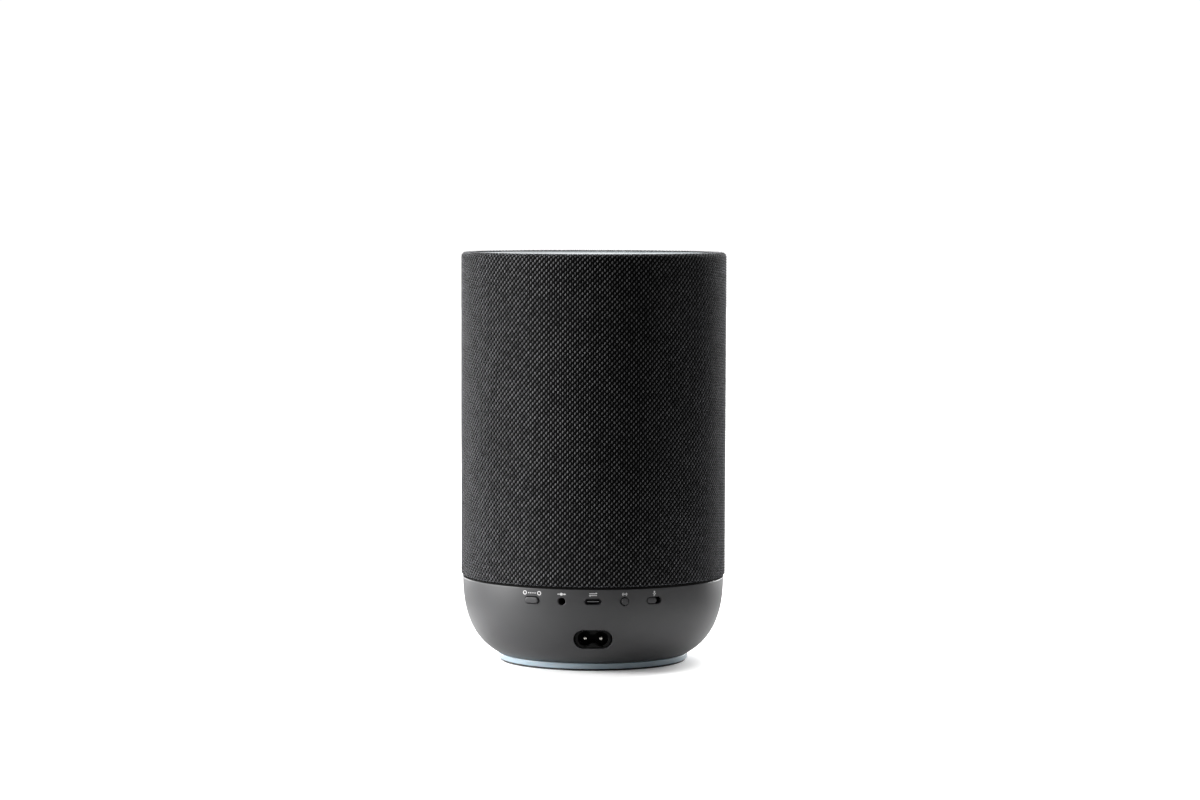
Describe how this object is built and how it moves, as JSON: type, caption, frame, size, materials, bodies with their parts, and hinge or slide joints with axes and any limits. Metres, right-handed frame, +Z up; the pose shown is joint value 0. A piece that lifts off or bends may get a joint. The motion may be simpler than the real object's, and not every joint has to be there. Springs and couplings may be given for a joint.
{
  "type": "smart speaker",
  "caption": "Cylindrical cloth-covered smart speaker on a rounded plastic tub, with a touch plate on top and a connector panel at the back.",
  "frame": {"origin": "centre of the underside of the foot, on the surface it stands on", "axes": "+Z up along the cylinder's axis; the front with the woofer faces -Y and the connector panel faces +Y"},
  "size_m": [0.146, 0.146, 0.2245],
  "materials": {
    "cloth": "charcoal plain weave",
    "grey_plastic": "fine satin moulding",
    "pale_plastic": "satin",
    "black_plastic": "satin",
    "rubber": "matt",
    "dark_metal": "dark plated",
    "steel": "zinc plated",
    "painted_steel": "black paint",
    "aluminium": "satin",
    "capacitor_can": "dark sleeve",
    "plated_brass": "nickel plated",
    "copper": "enamelled winding",
    "circuit_board": "solder mask",
    "pulp": "pressed pulp",
    "silk": "coated silk",
    "spider_cloth": "phenolic cloth",
    "ribbon": "polyimide film",
    "lead_sleeve": "lead insulation"
  },
  "bodies": {
    "speaker_body": {"fabric_sleeve": "cloth", "grille_frame": "black_plastic", "top_plate": "pale_plastic", "touch_board": "circuit_board", "top_tray": "black_plastic", "base_tub": "grey_plastic", "light_ring": "pale_plastic", "bottom_cover": "black_plastic", "cover_screw_1": "steel", "cover_screw_2": "steel", "cover_screw_3": "steel", "cover_screw_4": "steel", "foot_ring": "rubber", "led_board": "circuit_board", "connect_switch": "black_plastic", "pairing_switch": "black_plastic", "mic_switch": "black_plastic", "usb_shell": "dark_metal", "usb_tongue": "black_plastic", "aux_jack": "black_plastic", "mains_inlet": "black_plastic", "inlet_pin_left": "plated_brass", "inlet_pin_right": "plated_brass", "main_board": "circuit_board", "heat_sink": "aluminium", "processor_shield": "steel", "power_board": "circuit_board", "power_transformer": "copper", "power_capacitor": "capacitor_can", "deck_plate": "black_plastic", "speaker_cabinet": "black_plastic", "cabinet_gasket": "rubber", "cabinet_lid": "black_plastic", "woofer_basket": "painted_steel", "woofer_magnet": "steel", "woofer_spider": "spider_cloth", "woofer_surround": "rubber", "radiator_frame": "black_plastic", "radiator_surround": "rubber", "tweeter_frame_left": "black_plastic", "tweeter_frame_right": "black_plastic", "tweeter_magnet_left": "steel", "tweeter_magnet_right": "steel", "touch_ribbon": "ribbon", "lead_grommet": "rubber", "speaker_lead": "rubber", "mains_lead_left": "lead_sleeve", "mains_lead_right": "lead_sleeve"},
    "connect_button": {"connect_button": "grey_plastic", "connect_plunger": "black_plastic"},
    "pairing_button": {"pairing_button": "grey_plastic", "pairing_plunger": "black_plastic"},
    "mic_slider": {"mic_slider": "grey_plastic", "mic_switch_lever": "black_plastic"},
    "woofer_cone": {"woofer_cone": "pulp", "woofer_voice_coil": "copper"},
    "radiator_diaphragm": {"radiator_diaphragm": "pulp"},
    "tweeter_dome_left": {"tweeter_dome_left": "silk"},
    "tweeter_dome_right": {"tweeter_dome_right": "silk"}
  },
  "joints": [
    {"name": "connect_press", "type": "slide", "parent": "speaker_body", "child": "connect_button", "axis": [-0.4546, -0.8907, 0], "range_m": [0, 0.0008], "stiffness_N_per_m": 1500},
    {"name": "pairing_press", "type": "slide", "parent": "speaker_body", "child": "pairing_button", "axis": [0.2338, -0.9723, 0], "range_m": [0, 0.0008], "stiffness_N_per_m": 1500},
    {"name": "mic_slide", "type": "slide", "parent": "speaker_body", "child": "mic_slider", "axis": [-0.8907, -0.4546, 0], "range_m": [0, 0.0024]},
    {"name": "woofer_stroke", "type": "slide", "parent": "speaker_body", "child": "woofer_cone", "axis": [0, -1, 0], "range_m": [-0.004, 0.004], "stiffness_N_per_m": 1500, "deforming": ["woofer_surround", "woofer_spider"]},
    {"name": "radiator_stroke", "type": "slide", "parent": "speaker_body", "child": "radiator_diaphragm", "axis": [0, 1, 0], "range_m": [-0.005, 0.005], "stiffness_N_per_m": 800, "deforming": ["radiator_surround"]},
    {"name": "tweeter_stroke_left", "type": "slide", "parent": "speaker_body", "child": "tweeter_dome_left", "axis": [0, -1, 0], "range_m": [-0.0003, 0.0003], "stiffness_N_per_m": 3000},
    {"name": "tweeter_stroke_right", "type": "slide", "parent": "speaker_body", "child": "tweeter_dome_right", "axis": [0, -1, 0], "range_m": [-0.0003, 0.0003], "stiffness_N_per_m": 3000}
  ]
}
